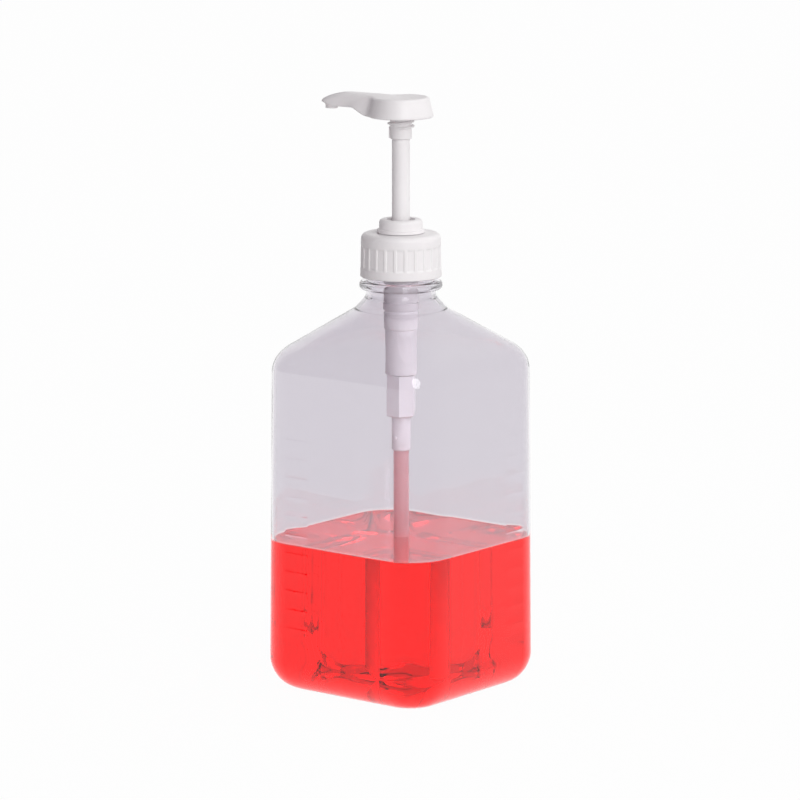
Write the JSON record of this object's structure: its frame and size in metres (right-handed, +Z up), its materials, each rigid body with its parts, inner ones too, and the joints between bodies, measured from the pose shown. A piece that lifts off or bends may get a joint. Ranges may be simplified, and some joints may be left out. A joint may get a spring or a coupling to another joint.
{
  "type": "syrup pump bottle",
  "caption": "Square clear bottle part filled with red syrup, with a white screw-on hand pump: round thumb pad, long side spout, sliding stem, threaded collar, cylinder and dip tube.",
  "frame": {"origin": "on the pump's axis, at the surface that the bottle stands on", "axes": "+Z up along the pump, the bottle's flat sides face +X, -X, +Y and -Y, the front side with ticks faces -Y"},
  "size_m": [0.1108, 0.1108, 0.3129],
  "materials": {
    "clear_bottle_plastic": "clear blow-moulded plastic, glossy",
    "syrup": "clear red syrup",
    "white_plastic": "moulded white plastic, satin",
    "seal_plastic": "soft off-white seal plastic",
    "tube_plastic": "extruded milky tube",
    "steel": "bright stainless steel"
  },
  "bodies": {
    "bottle": {"bottle_shell": "clear_bottle_plastic", "syrup": "syrup"},
    "pump_body": {"lock_collar": "white_plastic", "neck_gasket": "seal_plastic", "pump_cylinder": "white_plastic", "stem_guide": "white_plastic", "stem_wiper": "seal_plastic", "valve_body": "white_plastic", "valve_seal_ring": "seal_plastic", "inlet_ball_cage": "white_plastic", "tube_fitting": "white_plastic", "dip_tube": "tube_plastic", "syrup_in_dip_tube": "syrup", "return_spring": "steel"},
    "cap": {"screw_cap": "white_plastic"},
    "plunger": {"piston_core": "white_plastic", "piston_cup_seal": "seal_plastic", "piston_guide_ring": "white_plastic", "outlet_valve_seat": "seal_plastic"},
    "head": {"stem": "white_plastic", "pump_head": "white_plastic"},
    "inlet_valve_ball": {"inlet_ball": "steel"},
    "outlet_valve_ball": {"outlet_ball": "steel"}
  },
  "joints": [
    {"name": "pump_lift", "type": "slide", "parent": "bottle", "child": "pump_body", "axis": [0, 0, 1], "range_m": [0, 0.24]},
    {"name": "cap_turn", "type": "hinge", "parent": "pump_body", "child": "cap", "pos_m": [0, 0, 0.23], "axis": [0, 0, 1], "continuous": true},
    {"name": "pump_stroke", "type": "slide", "parent": "pump_body", "child": "plunger", "axis": [0, 0, -1], "range_m": [0, 0.047], "stiffness_N_per_m": 120, "springref_m": -0.03, "deforming": ["return_spring"]},
    {"name": "head_swivel", "type": "hinge", "parent": "plunger", "child": "head", "pos_m": [0, 0, 0.3], "axis": [0, 0, 1], "continuous": true},
    {"name": "inlet_ball_lift", "type": "slide", "parent": "pump_body", "child": "inlet_valve_ball", "axis": [0, 0, 1], "range_m": [0, 0.0024]},
    {"name": "outlet_ball_lift", "type": "slide", "parent": "plunger", "child": "outlet_valve_ball", "axis": [0, 0, 1], "range_m": [0, 0.002]}
  ]
}
